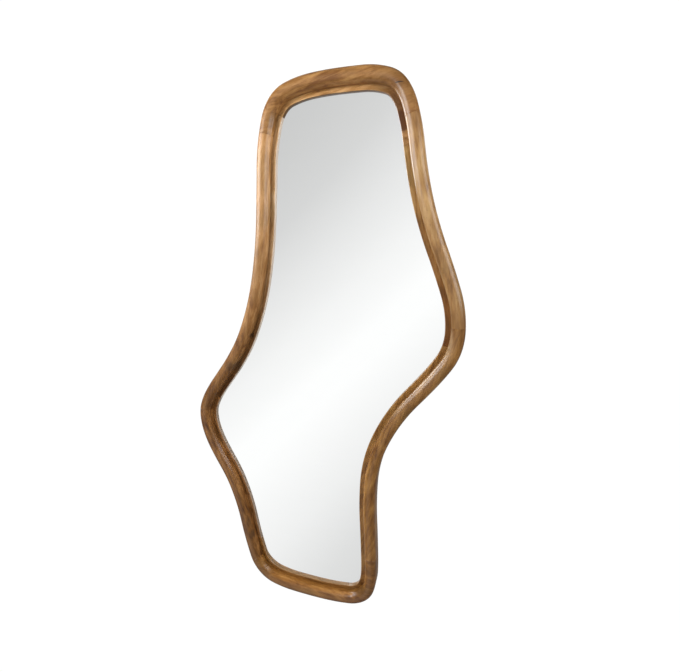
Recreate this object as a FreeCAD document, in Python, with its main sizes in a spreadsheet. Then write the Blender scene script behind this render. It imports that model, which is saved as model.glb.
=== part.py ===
# A wall mirror in a wavy hardwood frame: six half-lapped segments around one pane,
# a board behind it, two ring hangers and two wall bumpers.
# Millimetres. +Z is up, the front faces -Y, and the wall is the plane y = 0.
import FreeCAD, Part
import math
import os
import Sketcher

Vector = FreeCAD.Vector

sizes = (
    ("mirror_width", 626, "overall width"),
    ("mirror_height", 1200, "overall height"),
    ("wall_gap", 6, "wall to the back of the frame, the height of a bumper"),
    ("frame_face", 39.5, "outer edge to the inner edge, seen from the front"),
    ("frame_depth", 39, "back of the frame to the crest of its bead"),
    ("bead_width", 28, "half-round outer bead"),
    ("groove_width", 2, "flat floor of the valley between the bead and the lip"),
    ("lap_height", 16, "back of the frame to the floor of the valley, where the halves of a lap meet"),
    ("lip_edge_height", 20, "back of the frame to the lip beside the glass"),
    ("lip_round", 1.5, "rounded edge of the lip beside the glass"),
    ("back_round", 3, "rounded outer back edge"),
    ("glass_rebate_width", 8, "lip that overlaps the glass"),
    ("glass_thickness", 4, "mirror pane"),
    ("glass_edge_gap", 1.5, "edge of the pane to the wood"),
    ("glass_arris", 0.5, "ground edge of the pane"),
    ("tape_thickness", 2, "foam glazing tape"),
    ("tape_width", 9, "foam glazing tape"),
    ("tape_inset", 1, "edge of the pane to the tape"),
    ("board_rebate_width", 16, "inner edge of the frame to the wall of the board's rebate"),
    ("board_rebate_depth", 8, "back of the frame to the shoulder that carries the board"),
    ("board_thickness", 5, "backing board"),
    ("board_edge_gap", 1, "edge of the board to the wood"),
    ("lap_length", 50, "overlap of two segments, along the outer edge"),
    ("dowel_radius", 4, "dowel through a lap"),
    ("dowel_length", 33, "dowel through a lap"),
    ("dowel_inset", 13, "outer edge to a dowel"),
    ("dowel_chamfer", 0.8, "ends of a dowel"),
    ("dowel_clearance", 0.1, "dowel to its hole, on the radius"),
    ("dowel_end_gap", 1, "front end of a dowel to the bottom of its hole"),
    ("screw_radius", 1.5, "shank of every screw"),
    ("screw_head_radius", 2.9, "head of every screw, countersunk at 45 degrees"),
    ("screw_tip", 3, "pointed end of every screw"),
    ("screw_clearance", 0.1, "screw to its hole, on the radius"),
    ("screw_recess_half_width", 0.45, "cross recess, middle to the side of an arm"),
    ("screw_recess_half_span", 1.7, "cross recess, middle to the tip of an arm"),
    ("screw_recess_depth", 1, "cross recess"),
    ("screw_end_gap", 0.5, "tip of a screw to the bottom of its hole"),
    ("board_screw_length", 11, "screw through the board"),
    ("board_screw_edge", 5, "wall of the board's rebate to a screw"),
    ("hanger_screw_length", 16, "screw through a strap"),
    ("hanger_inset", 11.5, "outer edge to the middle of a strap, at the axis of its ring"),
    ("strap_half_width", 5.5, "middle of a hanger strap to its side"),
    ("strap_length", 36, "axis of the ring to the lower end of the strap"),
    ("strap_thickness", 1.5, "hanger strap and its curl"),
    ("strap_end_radius", 4, "corners of a strap's lower end"),
    ("strap_first_screw", 13, "axis of the ring to the upper screw"),
    ("strap_second_screw", 28, "axis of the ring to the lower screw"),
    ("ring_wire_radius", 1.25, "wire of a ring"),
    ("ring_clearance", 0.1, "wire to the curl, on the radius"),
    ("ring_axis_height", 3.1, "back of the frame to the axis of a ring"),
    ("ring_bar_half", 6.5, "middle of the straight bar to its bend"),
    ("ring_bend_radius", 3, "bends of a ring, to the middle of the wire"),
    ("ring_leg", 4, "straight legs of a ring"),
    ("bumper_radius", 7, "wall bumper"),
    ("bumper_round", 1.2, "rear edge of a bumper"),
    ("bumper_inset", 13, "outer edge to the middle of a bumper"),
)

# The outer edge, clockwise from the top: shares of the half width and the half height, and the
# heading there in degrees, 0 to the right and -90 down, as drawn at this share of width to height.
drawn_width_share = 0.522
outline_shares = (
    (0.150, 1.000, 0),
    (0.490, 0.981, -20),
    (0.650, 0.879, -73),
    (0.731, 0.669, -78),
    (0.862, 0.447, -68),
    (1.000, 0.175, -90),
    (0.928, 0.044, -123),
    (0.737, -0.087, -130),
    (0.454, -0.439, -93),
    (0.469, -0.771, -88),
    (0.453, -0.905, -105),
    (0.265, -0.988, -170),
    (-0.028, -1.000, -180),
    (-0.387, -0.985, -194),
    (-0.608, -0.869, -254),
    (-0.767, -0.542, -249),
    (-0.918, -0.388, -243),
    (-1.000, -0.231, -270),
    (-0.925, -0.118, -303),
    (-0.768, -0.007, -307),
    (-0.595, 0.145, -293),
    (-0.422, 0.559, -274),
    (-0.352, 0.881, -286),
    (-0.183, 0.979, -342),
)

# Each segment starts at a seam of the bead, given as a share of the way round the outer edge.
segment_start_shares = (
    ("upper_right_stile", 0.069),
    ("lower_right_stile", 0.205),
    ("bottom_rail", 0.408),
    ("lower_left_stile", 0.564),
    ("upper_left_stile", 0.708),
    ("top_rail", 0.928),
)

# Dowels along a lap, board screws along a segment, bumpers along the whole edge, and the rings'
# axes up the half height.
dowel_place_shares = (0.26, 0.74)
board_screw_place_shares = (0.17, 0.50, 0.83)
bumper_place_shares = (0.462, 0.537)
hanger_height_share = 0.68

close_enough = 1e-6

os.makedirs("parts", exist_ok=True)
doc = FreeCAD.newDocument("WavyMirror")
sheet = doc.addObject("Spreadsheet::Sheet", "Sizes")
for row, (alias, value, meaning) in enumerate(sizes, start=1):
    sheet.set("A%d" % row, meaning)
    sheet.set("B%d" % row, str(value))
    sheet.setAlias("B%d" % row, alias)
doc.recompute()


def total(*terms):
    """Sum of named sizes in millimetres; a name that starts with - is taken away."""
    result = 0.0
    for term in terms:
        sign = -1.0 if term.startswith("-") else 1.0
        result += sign * float(getattr(sheet, term.lstrip("-")))
    return result


def formula(*terms):
    """The same sum as an expression on the sheet."""
    text = "0 mm"
    for term in terms:
        sign = " - " if term.startswith("-") else " + "
        text += sign + "Sizes." + term.lstrip("-") + " * 1 mm"
    return text


# The outer edge as arcs that meet without a corner.

def unit(angle):
    return Vector(math.cos(angle), math.sin(angle), 0)


class EdgeArc:
    """One arc of the outer edge, in X and Z: where it starts, its heading, length and curvature."""

    def __init__(self, start, heading, length, curvature):
        self.start = start
        self.heading = heading
        self.length = length
        self.curvature = curvature

    def heading_at(self, run):
        return self.heading + self.curvature * run

    def point(self, run, inward=0.0):
        """The point after this run along the outer edge, moved square to it into the frame."""
        chord = run
        if abs(self.curvature) * run > close_enough ** 2:
            half_turn = self.curvature * run / 2
            chord = 2 * math.sin(half_turn) / self.curvature
        place = self.start + unit(self.heading + self.curvature * run / 2) * chord
        right = unit(self.heading_at(run) - math.pi / 2)
        return place + right * inward

    def part(self, first, last):
        return EdgeArc(self.point(first), self.heading_at(first), last - first, self.curvature)


def arc_pair(start, heading, end, end_heading):
    """Two arcs that leave start and reach end with the headings given."""
    leave = unit(heading)
    arrive = unit(end_heading)
    gap = end - start
    both = leave + arrive
    bend = 1 - leave.dot(arrive)
    along = gap.dot(both)
    reach = gap.dot(gap) / (4 * gap.dot(arrive))
    if bend > close_enough ** 2:
        reach = (math.sqrt(along * along + 2 * bend * gap.dot(gap)) - along) / (2 * bend)
    middle = (start + leave * reach + end - arrive * reach) * 0.5
    pair = []
    for first, last, tangent, side in ((start, middle, leave, 1), (middle, end, arrive, -1)):
        chord = last - first
        sine = side * (tangent.x * chord.y - tangent.y * chord.x) / chord.Length
        half_turn = math.asin(sine)
        curvature = 2 * math.sin(half_turn) / chord.Length
        length = chord.Length
        if abs(half_turn) > close_enough ** 2:
            length = 2 * half_turn / curvature
        chord_heading = math.atan2(chord.y, chord.x)
        pair.append(EdgeArc(first, chord_heading - half_turn, length, curvature))
    return pair


def outer_edge():
    """All arcs of the outer edge, clockwise from the top."""
    half_width = total("mirror_width") / 2
    half_height = total("mirror_height") / 2
    stretch = half_width / half_height / drawn_width_share
    stations = []
    for across_share, up_share, degrees in outline_shares:
        drawn = unit(math.radians(degrees))
        heading = math.atan2(drawn.y, drawn.x * stretch)
        stations.append((Vector(across_share * half_width, up_share * half_height, 0), heading))
    arcs = []
    for index, (place, heading) in enumerate(stations):
        next_place, next_heading = stations[(index + 1) % len(stations)]
        arcs += arc_pair(place, heading, next_place, next_heading)
    return arcs


edge_arcs = outer_edge()
edge_length = sum(arc.length for arc in edge_arcs)


def span(first, last):
    """The arcs of the outer edge between two runs from the top, once round the end if need be."""
    found = []
    run = 0.0
    for arc in edge_arcs + edge_arcs:
        low = max(first, run)
        high = min(last, run + arc.length)
        if high - low > close_enough:
            found.append(arc.part(low - run, high - run))
        run += arc.length
    return found


def place_on_edge(run, inward):
    """The point at this run from the top and this far inside the outer edge."""
    run = run % edge_length
    for arc in edge_arcs:
        if run <= arc.length:
            return arc.point(run, inward)
        run -= arc.length
    return edge_arcs[0].point(0, inward)


def run_at_height(height, rightward):
    """The run at which the outer edge passes this height on the right or on the left side."""
    run = 0.0
    for arc in edge_arcs:
        above = arc.start.y - height
        crosses = above * (arc.point(arc.length).y - height) <= 0
        if crosses and (arc.start.x > 0) == rightward:
            low = 0.0
            high = arc.length
            while high - low > close_enough:
                middle = (low + high) / 2
                if (arc.point(middle).y - height) * above > 0:
                    low = middle
                else:
                    high = middle
            return run + low
        run += arc.length
    raise ValueError("the outer edge doesn't reach that height")


# Sketch helpers.

def origin_plane(body, role):
    for feature in body.Origin.OriginFeatures:
        if feature.Role == role:
            return feature
    raise ValueError("no origin plane " + role)


def sketch_on(body, name, role, offset=None):
    sketch = body.newObject("Sketcher::SketchObject", name)
    sketch.AttachmentSupport = [(origin_plane(body, role), "")]
    sketch.MapMode = "FlatFace"
    if offset is not None:
        sketch.AttachmentOffset = offset
    return sketch


def front_sketch(body, name, *height_terms):
    """A sketch in X and Z, at a height given in sizes above the back of the frame."""
    height = total("wall_gap", *height_terms)
    offset = FreeCAD.Placement(Vector(0, 0, height), FreeCAD.Rotation())
    sketch = sketch_on(body, name, "XZ_Plane", offset)
    sketch.setExpression("AttachmentOffset.Base.z", formula("wall_gap", *height_terms))
    return sketch


def section_sketch(body, name, arc):
    """A sketch across the frame at the start of an arc: x goes into the frame, y to the front."""
    inward = unit(arc.heading - math.pi / 2)
    along = unit(arc.heading)
    turn = FreeCAD.Rotation(
        Vector(inward.x, 0, inward.y), Vector(0, -1, 0), Vector(-along.x, 0, -along.y), "ZXY"
    )
    origin = Vector(arc.start.x, -total("wall_gap"), arc.start.y)
    return sketch_on(body, name, "XY_Plane", FreeCAD.Placement(origin, turn))


def add_edges(sketch, arcs, inward=0.0):
    """The given arcs of the edge, at a constant distance inside it, as connected curves."""
    ends = [arcs[0].point(0, inward)]
    for arc in arcs:
        ends.append(arc.point(arc.length, inward))
    if (ends[0] - ends[-1]).Length < close_enough:
        ends[-1] = ends[0]
    for index, arc in enumerate(arcs):
        middle = arc.point(arc.length / 2, inward)
        sketch.addGeometry(Part.Arc(ends[index], middle, ends[index + 1]), False)


def tie_point(sketch, item, end, x_terms, y_terms):
    """Fix a point of the sketch by sums of sizes from the sketch's origin."""
    for kind, terms in (("DistanceX", x_terms), ("DistanceY", y_terms)):
        number = sketch.addConstraint(Sketcher.Constraint(kind, -1, 1, item, end, total(*terms)))
        sketch.setExpression("Constraints[%d]" % number, formula(*terms))


def tie_radius(sketch, item, *terms):
    number = sketch.addConstraint(Sketcher.Constraint("Radius", item, total(*terms)))
    sketch.setExpression("Constraints[%d]" % number, formula(*terms))


def left_of(direction):
    return Vector(-direction.y, direction.x, 0)


def rounded_polygon(sketch, corners):
    """A closed anticlockwise outline; a corner is its x sizes, its y sizes and a radius or None."""
    points = [Vector(total(*x_terms), total(*y_terms), 0) for x_terms, y_terms, radius in corners]
    count = len(points)
    ends = []
    for index, (x_terms, y_terms, radius) in enumerate(corners):
        corner = points[index]
        arrive = (corner - points[index - 1]).normalize()
        leave = (points[(index + 1) % count] - corner).normalize()
        if radius is None:
            ends.append((corner, corner, None))
            continue
        turn = math.acos(arrive.dot(leave))
        reach = total(radius) * math.tan(turn / 2)
        first = corner - arrive * reach
        centre = first + left_of(arrive) * total(radius)
        start = math.atan2(first.y - centre.y, first.x - centre.x)
        circle = Part.Circle(centre, Vector(0, 0, 1), total(radius))
        ends.append((first, corner + leave * reach, Part.ArcOfCircle(circle, start, start + turn)))
    for index in range(count):
        line = Part.LineSegment(ends[index][1], ends[(index + 1) % count][0])
        sketch.addGeometry(line, False)
    for index, (x_terms, y_terms, radius) in enumerate(corners):
        before = (index - 1) % count
        if radius is None:
            sketch.addConstraint(Sketcher.Constraint("Coincident", before, 2, index, 1))
            tie_point(sketch, index, 1, x_terms, y_terms)
            continue
        arc = sketch.addGeometry(ends[index][2], False)
        sketch.addConstraint(Sketcher.Constraint("Tangent", before, 2, arc, 1))
        sketch.addConstraint(Sketcher.Constraint("Tangent", arc, 2, index, 1))
        tie_radius(sketch, arc, radius)
        point = sketch.addGeometry(Part.Point(points[index]), True)
        sketch.addConstraint(Sketcher.Constraint("PointOnObject", point, 1, before))
        sketch.addConstraint(Sketcher.Constraint("PointOnObject", point, 1, index))
        tie_point(sketch, point, 1, x_terms, y_terms)


def circles(sketch, places, *radius_terms):
    """Circles of one radius, tied to the sheet, at these places."""
    for place in places:
        outline = Part.Circle(Vector(place.x, place.y, 0), Vector(0, 0, 1), total(*radius_terms))
        circle = sketch.addGeometry(outline, False)
        sketch.addConstraint(Sketcher.Constraint("DistanceX", -1, 1, circle, 3, place.x))
        sketch.addConstraint(Sketcher.Constraint("DistanceY", -1, 1, circle, 3, place.y))
        tie_radius(sketch, circle, *radius_terms)


def new_body(label):
    body = doc.addObject("PartDesign::Body", label)
    body.Label = label
    return body


def pad(body, name, sketch, towards_front, *length_terms):
    feature = body.newObject("PartDesign::Pad", name)
    feature.Profile = sketch
    feature.setExpression("Length", formula(*length_terms))
    feature.Reversed = not towards_front
    doc.recompute()
    return feature


def pocket(body, name, sketch, towards_front, *depth_terms):
    """Cut the sketch into the body and make sure that something was cut."""
    doc.recompute()
    before = body.Shape.Volume
    feature = body.newObject("PartDesign::Pocket", name)
    feature.Profile = sketch
    feature.setExpression("Length", formula(*depth_terms))
    feature.Reversed = towards_front
    doc.recompute()
    if body.Shape.Volume >= before:
        raise ValueError("nothing cut by " + body.Label + " " + name)
    return feature


# The sections of the frame: x is the distance from the outer edge, y the height from its back.

def draw_back_layer(sketch):
    """The lower layer, up to the floor of the valley, with both rebates and the rising lip."""
    shoulder = ("frame_face", "-board_rebate_width")
    glass_wall = ("frame_face", "-glass_rebate_width")
    glass_front = ("board_rebate_depth", "tape_thickness", "glass_thickness")
    valley_inner = ("bead_width", "groove_width")
    rounded_polygon(sketch, (
        ((), (), "back_round"),
        (shoulder, (), None),
        (shoulder, ("board_rebate_depth",), None),
        (glass_wall, ("board_rebate_depth",), None),
        (glass_wall, glass_front, None),
        (("frame_face",), glass_front, None),
        (("frame_face",), ("lip_edge_height",), "lip_round"),
        (valley_inner, ("lap_height",), None),
        ((), ("lap_height",), None),
    ))


def draw_bead(sketch):
    """The upper layer: a half round on short straight sides."""
    width = total("bead_width")
    floor = total("lap_height")
    radius = width / 2
    centre = Vector(radius, total("frame_depth") - radius, 0)
    circle = Part.Circle(centre, Vector(0, 0, 1), radius)
    outline = (
        Part.LineSegment(Vector(0, floor, 0), Vector(width, floor, 0)),
        Part.LineSegment(Vector(width, floor, 0), Vector(width, centre.y, 0)),
        Part.ArcOfCircle(circle, 0, math.pi),
        Part.LineSegment(Vector(0, centre.y, 0), Vector(0, floor, 0)),
    )
    for item in outline:
        sketch.addGeometry(item, False)
    base, right_side, crown, left_side = range(len(outline))
    tie_point(sketch, base, 1, (), ("lap_height",))
    tie_point(sketch, base, 2, ("bead_width",), ("lap_height",))
    sketch.addConstraint(Sketcher.Constraint("Coincident", base, 2, right_side, 1))
    sketch.addConstraint(Sketcher.Constraint("Coincident", left_side, 2, base, 1))
    sketch.addConstraint(Sketcher.Constraint("Vertical", right_side))
    sketch.addConstraint(Sketcher.Constraint("Vertical", left_side))
    sketch.addConstraint(Sketcher.Constraint("Tangent", right_side, 2, crown, 1))
    sketch.addConstraint(Sketcher.Constraint("Tangent", crown, 2, left_side, 1))
    rise = sketch.addConstraint(Sketcher.Constraint("DistanceY", -1, 1, crown, 3, centre.y))
    crest = formula("frame_depth") + " - Sizes.bead_width * 1 mm / 2"
    sketch.setExpression("Constraints[%d]" % rise, crest)


def sweep(body, name, first, last, draw):
    """Sweep one section of the frame along the outer edge between two runs."""
    arcs = span(first, last)
    path = front_sketch(body, name + "_path")
    add_edges(path, arcs)
    section = section_sketch(body, name + "_section", arcs[0])
    draw(section)
    doc.recompute()
    feature = body.newObject("PartDesign::AdditivePipe", name)
    feature.Profile = section
    feature.Spine = (path, ["Edge%d" % number for number in range(1, len(arcs) + 1)])
    doc.recompute()


# Where things are along the edge.

seams = []
for label, start_share in segment_start_shares:
    seams.append((label, start_share * edge_length))
segment_runs = []
for index, (label, start) in enumerate(seams):
    end = seams[(index + 1) % len(seams)][1]
    if end < start:
        end += edge_length
    segment_runs.append((label, start, end))

dowel_places = {}
for index, (label, start, end) in enumerate(segment_runs):
    places = []
    for share in dowel_place_shares:
        run = start + share * total("lap_length")
        places.append(place_on_edge(run, total("dowel_inset")))
    dowel_places[label] = places

board_screw_inset = total("frame_face", "-board_rebate_width", "board_screw_edge")
board_screw_places = {}
for label, start, end in segment_runs:
    places = []
    for share in board_screw_place_shares:
        run = start + total("lap_length") + share * (end - start)
        places.append(place_on_edge(run, board_screw_inset))
    board_screw_places[label] = places


def ring_axis_place(rightward):
    height = hanger_height_share * total("mirror_height") / 2
    run = run_at_height(height, rightward)
    return Vector(place_on_edge(run, total("hanger_inset")).x, height, 0)


def strap_screw_places(axis_place):
    places = []
    for drop in ("strap_first_screw", "strap_second_screw"):
        places.append(axis_place - Vector(0, total(drop), 0))
    return places


left_axis = ring_axis_place(False)
right_axis = ring_axis_place(True)


# The wooden frame.

def build_segment(label, start, end, next_label):
    """One segment: its bead runs from seam to seam, its back layer one lap further on."""
    body = new_body(label)
    lap = total("lap_length")
    sweep(body, "back_layer", start + lap, end + lap, draw_back_layer)
    sweep(body, "bead", start, end, draw_bead)

    dowels = front_sketch(body, "dowel_holes")
    places = dowel_places[label] + dowel_places[next_label]
    circles(dowels, places, "dowel_radius", "dowel_clearance")
    pocket(body, "dowel_cut", dowels, True, "dowel_length", "dowel_end_gap")

    pilots = front_sketch(body, "board_screw_holes", "board_rebate_depth")
    circles(pilots, board_screw_places[label], "screw_radius", "screw_clearance")
    pocket(body, "board_screw_cut", pilots, True,
           "board_screw_length", "-board_thickness", "screw_end_gap")

    strap_places = {"upper_left_stile": left_axis, "upper_right_stile": right_axis}
    if label in strap_places:
        holes = front_sketch(body, "strap_screw_holes")
        places = strap_screw_places(strap_places[label])
        circles(holes, places, "screw_radius", "screw_clearance")
        pocket(body, "strap_screw_cut", holes, True,
               "hanger_screw_length", "-strap_thickness", "screw_end_gap")
    return body


# The pane and what is behind it.

def outline_sketch(body, name, inset_sums, *height_terms):
    """The outer edge moved inwards, once for each sum of sizes."""
    sketch = front_sketch(body, name, *height_terms)
    for inset_terms in inset_sums:
        add_edges(sketch, edge_arcs, total(*inset_terms))
    return sketch


def flat_faces(feature):
    names = []
    for number, face in enumerate(feature.Shape.Faces, start=1):
        if isinstance(face.Surface, Part.Plane):
            names.append("Face%d" % number)
    return names


glass_inset = ("frame_face", "-glass_rebate_width", "glass_edge_gap")
tape_outer_inset = glass_inset + ("tape_inset",)
tape_inner_inset = tape_outer_inset + ("tape_width",)
board_inset = ("frame_face", "-board_rebate_width", "board_edge_gap")
board_back = ("board_rebate_depth", "-board_thickness")


def build_glass():
    body = new_body("mirror_glass")
    outline = outline_sketch(body, "outline", (glass_inset,), "board_rebate_depth", "tape_thickness")
    pane = pad(body, "pane", outline, True, "glass_thickness")
    arris = body.newObject("PartDesign::Chamfer", "arris")
    arris.Base = (pane, flat_faces(pane))
    arris.setExpression("Size", formula("glass_arris"))
    doc.recompute()
    return body


def build_tape():
    body = new_body("glazing_tape")
    insets = (tape_outer_inset, tape_inner_inset)
    outline = outline_sketch(body, "outline", insets, "board_rebate_depth")
    pad(body, "strip", outline, True, "tape_thickness")
    return body


def circle_edges(shape, height, *radius_terms):
    """Names of the circular edges of this radius at this y."""
    names = []
    for number, edge in enumerate(shape.Edges, start=1):
        if not isinstance(edge.Curve, Part.Circle):
            continue
        level = abs(edge.Curve.Center.y - height) < close_enough
        if level and abs(edge.Curve.Radius - total(*radius_terms)) < close_enough:
            names.append("Edge%d" % number)
    return names


def countersunk_holes(body, name, sketch, rear, *depth_terms):
    """Holes for the screws, with their sinks at the rear face."""
    cut = pocket(body, name, sketch, True, *depth_terms)
    rims = circle_edges(cut.Shape, rear, "screw_radius", "screw_clearance")
    sinks = body.newObject("PartDesign::Chamfer", name + "_sinks")
    sinks.Base = (cut, rims)
    sinks.setExpression("Size", formula("screw_head_radius", "-screw_radius"))
    doc.recompute()


def build_board():
    body = new_body("backing_board")
    outline = outline_sketch(body, "outline", (board_inset,), *board_back)
    pad(body, "panel", outline, True, "board_thickness")
    holes = front_sketch(body, "screw_holes", *board_back)
    places = []
    for label, start, end in segment_runs:
        places += board_screw_places[label]
    circles(holes, places, "screw_radius", "screw_clearance")
    rear = -total("wall_gap", *board_back)
    countersunk_holes(body, "screw_cut", holes, rear, "board_thickness")
    return body, places


# Fasteners: each kind is modelled once, with its rear end on y = 0, and copied to its places.

def build_screw(name, length_term):
    body = new_body(name)
    profile = sketch_on(body, name + "_profile", "XY_Plane")
    rounded_polygon(profile, (
        ((), (), None),
        (("screw_head_radius",), (), None),
        (("screw_radius",), ("screw_radius", "-screw_head_radius"), None),
        (("screw_radius",), ("-" + length_term, "screw_tip"), None),
        ((), ("-" + length_term,), None),
    ))
    turned = body.newObject("PartDesign::Revolution", name + "_turned")
    turned.Profile = profile
    turned.ReferenceAxis = (profile, ["V_Axis"])
    turned.Angle = 360
    doc.recompute()
    cross = sketch_on(body, name + "_cross", "XZ_Plane")
    near = "screw_recess_half_width"
    far = "screw_recess_half_span"
    turns = (
        (far, near), (near, near), (near, far), ("-" + near, far), ("-" + near, near),
        ("-" + far, near), ("-" + far, "-" + near), ("-" + near, "-" + near), ("-" + near, "-" + far),
        (near, "-" + far), (near, "-" + near), (far, "-" + near),
    )
    rounded_polygon(cross, [((across,), (up,), None) for across, up in turns])
    pocket(body, name + "_recess", cross, True, "screw_recess_depth")
    return body


def build_dowel():
    body = new_body("dowel")
    outline = sketch_on(body, "dowel_outline", "XZ_Plane")
    circles(outline, [Vector(0, 0, 0)], "dowel_radius")
    rod = pad(body, "dowel_rod", outline, True, "dowel_length")
    ends = body.newObject("PartDesign::Chamfer", "dowel_ends")
    ends.Base = (rod, flat_faces(rod))
    ends.setExpression("Size", formula("dowel_chamfer"))
    doc.recompute()
    return body


def build_bumper():
    body = new_body("bumper")
    outline = sketch_on(body, "bumper_outline", "XZ_Plane")
    circles(outline, [Vector(0, 0, 0)], "bumper_radius")
    disc = pad(body, "bumper_disc", outline, True, "wall_gap")
    rounded = body.newObject("PartDesign::Fillet", "bumper_rim")
    rounded.Base = (disc, circle_edges(disc.Shape, 0, "bumper_radius"))
    rounded.setExpression("Radius", formula("bumper_round"))
    doc.recompute()
    return body


def copies(label, pattern, places, rear):
    """One node that holds a copy of the pattern at each place, with its rear end at this y."""
    solids = []
    for place in places:
        solid = pattern.Shape.copy()
        solid.translate(Vector(place.x, rear, place.y))
        solids.append(solid)
    group = doc.addObject("Part::Feature", label)
    group.Label = label
    group.Shape = Part.makeCompound(solids)
    group.Placement = FreeCAD.Placement()
    return group


# Hangers: local origin on the back of the frame, level with the axis of the ring.

def build_strap(label, axis_place):
    body = new_body(label)
    plate = sketch_on(body, label + "_plate_outline", "XZ_Plane")
    rounded_polygon(plate, (
        (("-strap_half_width",), ("-strap_length",), "strap_end_radius"),
        (("strap_half_width",), ("-strap_length",), "strap_end_radius"),
        (("strap_half_width",), (), None),
        (("-strap_half_width",), (), None),
    ))
    pad(body, label + "_plate", plate, False, "strap_thickness")
    curl = sketch_on(body, label + "_curl_outline", "YZ_Plane")
    centre = [Vector(total("ring_axis_height"), 0, 0)]
    circles(curl, centre, "ring_wire_radius", "ring_clearance", "strap_thickness")
    circles(curl, centre, "ring_wire_radius", "ring_clearance")
    roll = pad(body, label + "_curl", curl, True, "strap_half_width", "strap_half_width")
    roll.Midplane = True
    holes = sketch_on(body, label + "_holes", "XZ_Plane")
    holes.AttachmentOffset = FreeCAD.Placement(
        Vector(0, 0, -total("strap_thickness")), FreeCAD.Rotation()
    )
    holes.setExpression("AttachmentOffset.Base.z", formula("-strap_thickness"))
    circles(holes, strap_screw_places(Vector(0, 0, 0)), "screw_radius", "screw_clearance")
    rear = total("strap_thickness")
    countersunk_holes(body, label + "_screw_cut", holes, rear, "strap_thickness")
    body.Placement = FreeCAD.Placement(
        Vector(axis_place.x, -total("wall_gap"), axis_place.y), FreeCAD.Rotation()
    )
    return body


def build_ring(label, axis_place):
    """A wire bent to a D: the straight bar turns in the strap's curl, the bow hangs below it."""
    body = new_body(label)
    bar = total("ring_bar_half")
    bend = total("ring_bend_radius")
    side = bar + bend
    leg_end = bend + total("ring_leg")
    bend_share = math.sqrt(0.5)
    path = sketch_on(body, label + "_path", "XZ_Plane")
    right_bend = Vector(bar + bend * bend_share, -bend + bend * bend_share, 0)
    left_bend = Vector(-right_bend.x, right_bend.y, 0)
    curves = (
        Part.LineSegment(Vector(-bar, 0, 0), Vector(bar, 0, 0)),
        Part.Arc(Vector(bar, 0, 0), right_bend, Vector(side, -bend, 0)),
        Part.LineSegment(Vector(side, -bend, 0), Vector(side, -leg_end, 0)),
        Part.Arc(Vector(side, -leg_end, 0), Vector(0, -leg_end - side, 0), Vector(-side, -leg_end, 0)),
        Part.LineSegment(Vector(-side, -leg_end, 0), Vector(-side, -bend, 0)),
        Part.Arc(Vector(-side, -bend, 0), left_bend, Vector(-bar, 0, 0)),
    )
    for curve in curves:
        path.addGeometry(curve, False)
    offset = FreeCAD.Placement(Vector(0, 0, -bar), FreeCAD.Rotation())
    section = sketch_on(body, label + "_section", "YZ_Plane", offset)
    circles(section, [Vector(0, 0, 0)], "ring_wire_radius")
    doc.recompute()
    wire = body.newObject("PartDesign::AdditivePipe", label + "_wire")
    wire.Profile = section
    wire.Spine = (path, ["Edge%d" % number for number in range(1, len(curves) + 1)])
    rear = total("ring_axis_height", "-wall_gap")
    body.Placement = FreeCAD.Placement(Vector(axis_place.x, rear, axis_place.y), FreeCAD.Rotation())
    doc.recompute()
    return body


nodes = []
for index, (label, start, end) in enumerate(segment_runs):
    following = segment_runs[(index + 1) % len(segment_runs)][0]
    nodes.append(build_segment(label, start, end, following))
all_dowel_places = []
for label, start, end in segment_runs:
    all_dowel_places += dowel_places[label]
nodes.append(copies("lap_dowels", build_dowel(), all_dowel_places, -total("wall_gap")))

nodes.append(build_glass())
nodes.append(build_tape())
board, board_holes = build_board()
nodes.append(board)
board_screw = build_screw("board_screw", "board_screw_length")
nodes.append(copies("board_screws", board_screw, board_holes, -total("wall_gap", *board_back)))

nodes.append(build_strap("left_hanger_strap", left_axis))
nodes.append(build_strap("right_hanger_strap", right_axis))
nodes.append(build_ring("left_hanger_ring", left_axis))
nodes.append(build_ring("right_hanger_ring", right_axis))
hanger_screw = build_screw("hanger_screw", "hanger_screw_length")
strap_holes = strap_screw_places(left_axis) + strap_screw_places(right_axis)
strap_rear = total("strap_thickness", "-wall_gap")
nodes.append(copies("hanger_screws", hanger_screw, strap_holes, strap_rear))

bumper_places = []
for share in bumper_place_shares:
    bumper_places.append(place_on_edge(share * edge_length, total("bumper_inset")))
nodes.append(copies("wall_bumpers", build_bumper(), bumper_places, 0))

doc.recompute()
for item in doc.Objects:
    if "Invalid" in item.State or "Error" in item.State:
        raise ValueError("failed feature " + item.Name)
for node in nodes:
    if node.Shape.isNull() or not node.Shape.isValid():
        raise ValueError("bad shape in " + node.Label)
for node in nodes:
    node.Shape.exportStep("parts/" + node.Label + ".step")
    print(node.Label, len(node.Shape.Solids), round(node.Shape.Volume))
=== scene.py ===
import math

import bpy
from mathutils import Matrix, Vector


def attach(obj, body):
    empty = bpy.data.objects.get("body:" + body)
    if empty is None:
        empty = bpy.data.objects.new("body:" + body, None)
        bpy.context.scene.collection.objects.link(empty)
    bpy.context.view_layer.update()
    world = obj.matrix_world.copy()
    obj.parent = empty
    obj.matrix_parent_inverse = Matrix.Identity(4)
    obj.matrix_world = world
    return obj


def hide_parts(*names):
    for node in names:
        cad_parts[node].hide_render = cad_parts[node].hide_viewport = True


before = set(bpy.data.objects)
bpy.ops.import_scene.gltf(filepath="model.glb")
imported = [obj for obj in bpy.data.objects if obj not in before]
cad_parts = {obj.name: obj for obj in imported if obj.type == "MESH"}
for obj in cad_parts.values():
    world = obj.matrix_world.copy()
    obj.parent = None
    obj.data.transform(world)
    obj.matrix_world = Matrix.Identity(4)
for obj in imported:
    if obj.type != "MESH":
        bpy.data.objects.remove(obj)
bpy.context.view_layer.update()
MM = 0.001

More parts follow.
